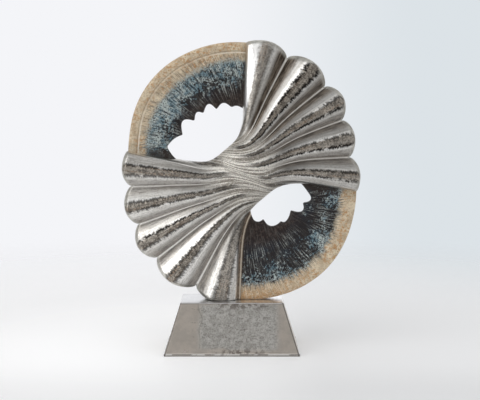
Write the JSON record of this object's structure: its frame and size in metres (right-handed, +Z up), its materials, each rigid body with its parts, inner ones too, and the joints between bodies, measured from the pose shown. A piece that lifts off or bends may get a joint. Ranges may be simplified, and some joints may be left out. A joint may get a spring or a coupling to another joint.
{
  "type": "abstract sculpture",
  "caption": "Fluted silver disc with a twisted waist, two painted crescents and two toothed openings, standing upright on a tapered plinth.",
  "frame": {"origin": "middle of the plinth's flat underside", "axes": "+Z up, the broad front of the disc faces -Y, +X to the right seen from the front"},
  "size_m": [0.3225, 0.114, 0.4178],
  "materials": {
    "worn_silver": "hammered silver with dark patina in the flutes; crescents painted sand, slate blue and dark brown",
    "brushed_pewter": "worn satin pewter with a mottled front"
  },
  "bodies": {
    "root": {"twisted_disc": "worn_silver", "plinth": "brushed_pewter"}
  },
  "joints": []
}
